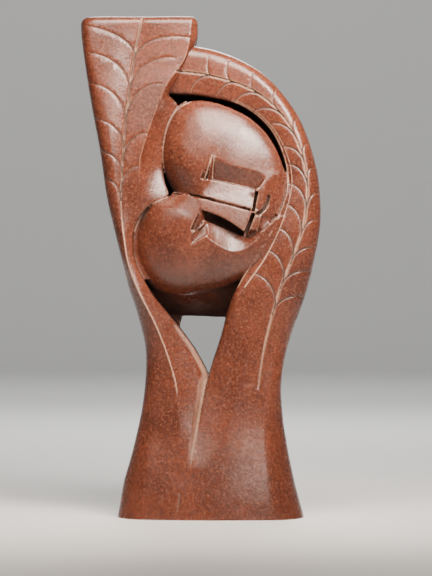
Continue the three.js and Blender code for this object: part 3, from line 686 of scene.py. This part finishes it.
def shelter(points, normals, mesh, reach=60.0, samples=12000, rays=24):
    """How far each point lies in a recess, from 0 in the open to 1 where no light and no cloth reach."""
    tree = BVHTree.FromPolygons([*map(tuple, points)], [tuple(p.vertices) for p in mesh.polygons])
    k = np.arange(rays) + 0.5
    lift, turn = np.arccos(1 - 2 * k / rays), k * np.pi * (1 + 5**0.5)
    sphere = np.stack([np.cos(turn) * np.sin(lift), np.sin(turn) * np.sin(lift), np.cos(lift)], axis=1)
    near = KDTree(samples)
    shut = np.empty(samples)
    for i, v in enumerate(np.linspace(0, len(points) - 1, samples).astype(int)):
        start = Vector(points[v] + normals[v] * 1.2)
        weights = sphere @ normals[v]
        rays_out = [(Vector(ray), w) for ray, w in zip(sphere, weights) if w > 0]
        blocked = sum(w for ray, w in rays_out if tree.ray_cast(start, ray, reach)[0])
        shut[i] = blocked / weights[weights > 0].sum()
        near.insert(points[v], i)
    near.balance()
    return np.array([shut[[found[1] for found in near.find_n(p, 4)]].mean() for p in points])


def rub_block(block, carving):
    """Gives the block an even mesh, rubs its edges down and leaves the shallow waves of hand work."""
    grain = block.modifiers.new("Even grain", "REMESH")
    grain.mode, grain.voxel_size = "VOXEL", carving.voxel * 1
    rub = block.modifiers.new("Rub the edges", "SMOOTH")
    rub.factor, rub.iterations = 0.5, carving.rubbing
    hand = bpy.data.textures.new("Hand work", "CLOUDS")
    hand.noise_scale, hand.noise_depth = 0.03, 1
    waves = block.modifiers.new("Hand work", "DISPLACE")
    waves.texture, waves.texture_coords, waves.strength = hand, "LOCAL", carving.unevenness
    apply_modifiers(block)


def cut_lines(mesh, lines):
    """Cuts the lines into the front, and says how far each point is painted pale as raw stone or highlight,
    and how far it is darkened by dark wax and painted shade.
    """
    points, normals, _ = read_mesh(mesh)
    deep, raw, waxed = line_depths(points[:, [0, 2]], lines)
    facing = smooth((-normals[:, 1] - 0.1) / 0.25)
    points = points - normals * (deep * facing)[:, None]
    mesh.vertices.foreach_set("co", (points * MM).ravel())
    mesh.update()
    return raw * facing, waxed * facing


def sharpness(mesh, gain=1.6):
    """How sharply the surface bends at each point, above 0 on edges and below 0 in grooves."""
    points, normals, edges = read_mesh(mesh)
    counts = np.maximum(np.bincount(edges.ravel(), minlength=len(points)), 1)
    length = np.linalg.norm(points[edges[:, 0]] - points[edges[:, 1]], axis=1).mean()
    smooth_points = points
    for _ in range(4):
        smooth_points = neighbour_mean(smooth_points, edges, counts)
    bend = ((points - smooth_points) * normals).sum(axis=1) / length
    for _ in range(2):
        bend = neighbour_mean(bend, edges, counts)
    return bend * gain


def finish_surface(block, carving):
    """Rubs the block, cuts the lines in and notes for the material where stone is raw or painted with
    highlights, where edges are worn and highlit, and where shade is painted into hollows.
    """
    rub_block(block, carving)
    mesh = block.data
    raw, waxed = cut_lines(mesh, incised_lines(carving))
    bend = sharpness(mesh)
    # Pale raw stone in the cut lines, and painted highlights along edges, lips and rims.
    store(mesh, "raw_stone_and_highlight", raw)
    # Sharp edges, made paler for wear and as painted highlights.
    store(mesh, "worn_and_highlit_edge", clamp01(bend))
    # Painted shade in creases, and dark wax that also paints shade at the bottom of the cut lines.
    store(mesh, "hollow", np.maximum(clamp01(-bend), waxed))

    fewer = block.modifiers.new("Fewer faces", "DECIMATE")
    fewer.ratio = min(1.0, carving.faces / (2 * len(mesh.polygons)))
    apply_modifiers(block)
    fit_in_box(block.data)
    points, normals, _ = read_mesh(block.data)
    # How shut in each point is, from which the material paints shade into recesses.
    store(block.data, "sheltered", shelter(points, normals, block.data))
    block.data.polygons.foreach_set("use_smooth", np.ones(len(block.data.polygons), bool))


def fit_in_box(mesh, ground_off=0.8):
    """Grinds the foot flat and fits the carving exactly into the box of the frame."""
    points, _, _ = read_mesh(mesh)
    low, high = (np.array(corner) / MM for corner in CAD_BOX)
    points[:, 2] = np.maximum(points[:, 2] - ground_off, points[:, 2].min())
    own_low, own_high = points.min(axis=0), points.max(axis=0)
    points = low + (points - own_low) * (high - low) / (own_high - own_low)
    mesh.vertices.foreach_set("co", (points * MM).ravel())
    mesh.update()


# Materials


def linear(colour):
    """A linear colour from an sRGB hex value."""
    channels = [int(colour[i : i + 2], 16) / 255 for i in (1, 3, 5)]
    return (*(c / 12.92 if c <= 0.04045 else ((c + 0.055) / 1.055) ** 2.4 for c in channels), 1.0)


def add_node(tree, kind, inputs=None, **settings):
    """Adds a node, sets its properties, and links or sets its inputs by name or number."""
    node = tree.nodes.new(kind)
    for name, value in settings.items():
        setattr(node, name, value)
    for name, value in (inputs or {}).items():
        if isinstance(value, bpy.types.NodeSocket):
            tree.links.new(value, node.inputs[name])
        else:
            node.inputs[name].default_value = value
    return node


def new_material(name):
    """A material, its empty node tree, and the place on the object that its patterns are laid by."""
    material = bpy.data.materials.new(name)
    material.use_nodes = True
    tree = material.node_tree
    tree.nodes.clear()
    return material, tree, add_node(tree, "ShaderNodeTexCoord").outputs["Object"]


def noise(tree, place, millimetres, detail, roughness=0.5):
    return add_node(tree, "ShaderNodeTexNoise", {
        "Vector": place, "Scale": 1000 / millimetres, "Detail": detail, "Roughness": roughness,
    }).outputs["Fac"]


def bump(tree, height, strength, distance):
    return add_node(tree, "ShaderNodeBump", {
        "Strength": strength, "Distance": distance, "Height": height,
    }).outputs["Normal"]


def set_surface(tree, inputs):
    surface = add_node(tree, "ShaderNodeBsdfPrincipled", inputs)
    add_node(tree, "ShaderNodeOutputMaterial", {"Surface": surface.outputs["BSDF"]})


def soapstone(colours):
    """Red-brown soapstone, rubbed by hand and waxed.

    The wax darkens the stone and gives a satin gloss, and where a tool went through it the stone is pale
    and matt. Grains of talc and iron of 1 to 5 mm mottle it, and clouds of about 50 mm lie behind them.
    Shade is painted into recesses, creases and cut lines, and highlights are painted as pale raw stone
    along edges, lips and rims."""
    material, tree, place = new_material("soapstone_hand_rubbed_waxed")
    mid, dark, pale, raw = (linear(colours[name]) for name in ("mid", "dark", "pale", "raw"))
    # Near-black for the dark grains, and for the painted shade in creases and cut lines.
    speck_and_shade_black = (0.02, 0.01, 0.008, 1)
    deep_shade = (0.03, 0.013, 0.009, 1)
    raw_rough, sheltered_rough = 0.85, 0.9

    def ranged(value, low, high, to_low=0.0, to_high=1.0):
        return add_node(tree, "ShaderNodeMapRange", {
            "Value": value, "From Min": low, "From Max": high, "To Min": to_low, "To Max": to_high,
        }).outputs["Result"]

    def blend(factor, a, b):
        return add_node(tree, "ShaderNodeMix", {0: factor, 6: a, 7: b}, data_type="RGBA").outputs[2]

    def blend_value(factor, a, b):
        return add_node(tree, "ShaderNodeMix", {0: factor, 2: a, 3: b}, data_type="FLOAT").outputs[0]

    def reads(name):
        return add_node(tree, "ShaderNodeAttribute", attribute_name=name).outputs["Fac"]

    clouds = noise(tree, place, 46, 3, 0.55)
    mottle = noise(tree, place, 4.5, 3, 0.65)
    grains = noise(tree, place, 1.7, 2, 0.7)
    specks = noise(tree, place, 2.1, 2, 0.7)
    colour = blend(ranged(clouds, 0.4, 0.62), mid, blend(0.7, mid, dark))
    colour = blend(ranged(mottle, 0.42, 0.68, 0, 0.7), colour, dark)
    colour = blend(ranged(grains, 0.5, 0.66, 0, 0.75), colour, pale)
    colour = blend(ranged(specks, 0.56, 0.66, 0, 0.65), colour, blend(0.5, dark, speck_and_shade_black))
    # Painted shade: recesses are darkened almost to black by how shut in they are.
    colour = blend(ranged(reads("sheltered"), 0.42, 0.92, 0, 0.88), colour, deep_shade)
    # Sharp edges are made paler towards the raw stone, for wear and as painted highlights.
    colour = blend(ranged(reads("worn_and_highlit_edge"), 0.25, 0.9, 0, 0.45), colour, raw)
    # Pale raw stone in the cut lines, and painted highlights along edges, lips and rims.
    colour = blend(ranged(reads("raw_stone_and_highlight"), 0.2, 1.0, 0, 0.75), colour, raw)
    # Painted shade: creases darken, and the cut lines take dark wax that also paints their shade.
    colour = blend(ranged(reads("hollow"), 0.15, 0.8, 0, 0.92), colour, blend(0.75, dark, speck_and_shade_black))

    rough = ranged(mottle, 0.35, 0.7, 0.22, 0.33)
    rough = blend_value(ranged(reads("raw_stone_and_highlight"), 0.1, 0.7), rough, raw_rough)
    rough = blend_value(ranged(reads("sheltered"), 0.45, 0.8), rough, sheltered_rough)
    relief = add_node(tree, "ShaderNodeMath", {0: ranged(grains, 0.3, 0.8, 0, 0.35), 1: mottle}).outputs[0]
    set_surface(tree, {
        "Base Color": colour, "Roughness": rough, "IOR": 1.56, "Normal": bump(tree, relief, 0.5, 0.35 * MM),
    })
    return material


def painted_studio_floor(colour):
    """Matt emulsion paint, rolled on, with a roller's faint orange peel of 2 mm."""
    material, tree, place = new_material("emulsion_paint_rolled")
    peel = noise(tree, place, 2, 2)
    set_surface(tree, {
        "Base Color": linear(colour), "Roughness": 0.7, "Specular IOR Level": 0.3,
        "Normal": bump(tree, peel, 0.05, 0.2 * MM),
    })
    return material


# What a user can change


class CarvingProperties(bpy.types.PropertyGroup):
    vein_width: bpy.props.FloatProperty(
        name="Vein width", description="Width of a scratched leaf vein", default=0.0021, unit="LENGTH")
    vein_depth: bpy.props.FloatProperty(
        name="Vein depth", description="Depth of a scratched leaf vein", default=0.0015, unit="LENGTH")
    rib_width: bpy.props.FloatProperty(
        name="Midrib width", description="Width of the line along a leaf's midrib",
        default=0.0028, unit="LENGTH")
    rib_depth: bpy.props.FloatProperty(
        name="Midrib depth", description="Depth of the line along a leaf's midrib",
        default=0.0016, unit="LENGTH")
    unevenness: bpy.props.FloatProperty(
        name="Unevenness", description="Height of the shallow waves that hand work leaves",
        default=0.0007, unit="LENGTH")
    rubbing: bpy.props.IntProperty(
        name="Rubbing", description="How many times the edges are rubbed down", default=2, min=0, max=20)
    voxel: bpy.props.FloatProperty(
        name="Grain of the mesh", description="Spacing of the mesh before faces are saved",
        default=0.0007, unit="LENGTH")
    faces: bpy.props.IntProperty(
        name="Triangles", description="About how many triangles the finished carving has",
        default=190000, min=1000)
    stone: bpy.props.StringProperty(
        name="Stone colour", description="sRGB hex colour of the waxed stone", default="#683423")
    dark: bpy.props.StringProperty(
        name="Dark grain", description="sRGB hex colour of the dark grains", default="#431F14")
    pale: bpy.props.StringProperty(
        name="Pale grain", description="sRGB hex colour of the pale grains", default="#804E3B")
    # The raw stone colour also paints the highlights along edges, lips and rims.
    raw: bpy.props.StringProperty(
        name="Raw stone", description="sRGB hex colour of the stone under the wax", default="#D8AC90")


class StageProperties(bpy.types.PropertyGroup):
    floor_size: bpy.props.FloatProperty(
        name="Floor size", description="Diameter of the flat part of the floor", default=8.4, unit="LENGTH")
    floor_colour: bpy.props.StringProperty(
        name="Floor colour", description="sRGB hex colour of the floor", default="#E4E4E2")
    camera_distance: bpy.props.FloatProperty(
        name="Camera distance", description="From the camera to the middle of the carving", default=2.4,
        unit="LENGTH")
    camera_side: bpy.props.FloatProperty(
        name="Camera offset", description="How far right of the middle the camera stands", default=0.0141,
        unit="LENGTH")
    camera_height: bpy.props.FloatProperty(
        name="Camera height", description="Height of the camera over the floor",
        default=0.2058, unit="LENGTH")
    view_height: bpy.props.FloatProperty(
        name="View height", description="Height of the picture at the carving",
        default=0.5218, unit="LENGTH")
    key_power: bpy.props.FloatProperty(
        name="Key light", description="Power of the soft box above to the right",
        default=3.4, unit="POWER")
    top_power: bpy.props.FloatProperty(
        name="Top light", description="Power of the soft box close above the heads",
        default=3.0, unit="POWER")
    front_power: bpy.props.FloatProperty(
        name="Front light", description="Power of the soft box above the camera",
        default=4.5, unit="POWER")
    fill_power: bpy.props.FloatProperty(
        name="Fill light", description="Power of the large soft box above to the left",
        default=11.0, unit="POWER")
    back_power: bpy.props.FloatProperty(
        name="Back light", description="Power of the soft box behind the carving",
        default=20.0, unit="POWER")
    backdrop_power: bpy.props.FloatProperty(
        name="Backdrop light", description="Power of the soft box on the wall behind",
        default=60.0, unit="POWER")
    room_light: bpy.props.FloatProperty(
        name="Room light", description="Strength of the light from all around", default=0.06)


class COUPLE_OT_carve(bpy.types.Operator):
    """Carves the kissing couple from one block of soapstone"""

    bl_idname = "couple.carve"
    bl_label = "Carve the couple"

    def execute(self, context):
        carving = context.scene.couple_carving
        block = rough_block(1.0)
        finish_surface(block, carving)
        block.name = block.data.name = "kissing_couple_carving"
        block.data.materials.clear()
        block.data.materials.append(soapstone(
            {"mid": carving.stone, "dark": carving.dark, "pale": carving.pale, "raw": carving.raw}))
        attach(block, "root")
        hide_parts("kissing_couple")
        return {"FINISHED"}


def studio_floor(radius, cove=1.2, wall_top=2.4, turns=96):
    """A round floor that curves up in a cove to a low wall all around, so that no edge of it shows."""
    bend = np.linspace(0, np.pi / 2, 16)
    curved = [(radius + cove * math.sin(a), cove - cove * math.cos(a)) for a in bend]
    angles = np.linspace(0, 2 * np.pi, turns + 1)[:-1]
    build = bmesh.new()
    rows = [[build.verts.new((r * math.cos(a), r * math.sin(a), z)) for a in angles]
            for r, z in [(0.02 * radius, 0), *curved, (radius + cove, wall_top)]]
    build.faces.new(rows[0])
    for low, high in zip(rows, rows[1:]):
        for quad in zip(low, low[1:] + low[:1], high[1:] + high[:1], high):
            build.faces.new(quad).smooth = True
    return object_from(build, "studio_floor")


def aim(piece, target):
    direction = Vector(target) - piece.location
    piece.rotation_euler = direction.to_track_quat("-Z", "Y").to_euler()


def soft_box(name, place, target, size, power, colour="#FFFFFF", spread=180):
    """A square soft box. A grid before it narrows its light to the given spread in degrees."""
    light = bpy.data.lights.new(name, "AREA")
    light.spread = math.radians(spread)
    light.shape, light.size, light.energy, light.color = "SQUARE", size, power, linear(colour)[:3]
    lamp = new_object(name, light)
    lamp.location = place
    aim(lamp, target)
    return lamp


class COUPLE_OT_stage(bpy.types.Operator):
    """Lays the pale floor, hangs the soft lights and sets up the camera"""

    bl_idname = "couple.stage"
    bl_label = "Set the stage"

    def execute(self, context):
        stage = context.scene.couple_stage
        floor = studio_floor(stage.floor_size / 2)
        floor.data.materials.append(painted_studio_floor(stage.floor_colour))

        soft_box("key_light", (0.29, -0.48, 0.68), (0.02, 0, 0.38), 0.3, stage.key_power, WARM_WHITE, 100)
        soft_box("top_light", (0.05, -0.34, 0.78), (0, 0, 0.38), 0.38, stage.top_power, WARM_WHITE, 100)
        soft_box("front_light", (0.4, -1.5, 0.65), (0, 0, 0.25), 0.4, stage.front_power, WARM_WHITE)
        soft_box("back_light", (0.1, 1.5, 1.3), (0, 0, 0.25), 0.8, stage.back_power)
        soft_box("fill_light", (-0.55, -0.95, 1.1), (0, 0, 0.36), 1, stage.fill_power, WARM_WHITE)
        soft_box("backdrop_light", (0, 1.6, 2.2), (0, 4.4, 0.6), 1.2, stage.backdrop_power)

        world = bpy.data.worlds.new("studio_room")
        world.use_nodes = True
        sky = world.node_tree.nodes["Background"]
        sky.inputs["Color"].default_value = linear("#F2F3F5")
        sky.inputs["Strength"].default_value = stage.room_light
        context.scene.world = world

        lens = bpy.data.cameras.new("camera")
        lens.sensor_width = 36.0
        lens.lens = lens.sensor_width * stage.camera_distance / stage.view_height
        camera = new_object("camera", lens)
        camera.location = (stage.camera_side, -stage.camera_distance, stage.camera_height)
        camera.rotation_euler = (math.pi / 2, 0, 0)
        context.scene.camera = camera
        return {"FINISHED"}


class COUPLE_PT_panel(bpy.types.Panel):
    bl_label = "Kissing couple"
    bl_idname = "COUPLE_PT_panel"
    bl_space_type = "VIEW_3D"
    bl_region_type = "UI"
    bl_category = "Carving"

    def draw(self, context):
        for group, operator in (("couple_carving", "couple.carve"), ("couple_stage", "couple.stage")):
            box = self.layout.box()
            values = getattr(context.scene, group)
            for name in values.bl_rna.properties.keys():
                if name not in ("rna_type", "name"):
                    box.prop(values, name)
            box.operator(operator)


CLASSES = (CarvingProperties, StageProperties, COUPLE_OT_carve, COUPLE_OT_stage, COUPLE_PT_panel)


def register():
    for cls in CLASSES:
        bpy.utils.register_class(cls)
    bpy.types.Scene.couple_carving = bpy.props.PointerProperty(type=CarvingProperties)
    bpy.types.Scene.couple_stage = bpy.props.PointerProperty(type=StageProperties)


def unregister():
    del bpy.types.Scene.couple_stage
    del bpy.types.Scene.couple_carving
    for cls in reversed(CLASSES):
        bpy.utils.unregister_class(cls)


def main():
    register()
    bpy.ops.couple.carve()
    bpy.ops.couple.stage()


if __name__ == "__main__":
    main()
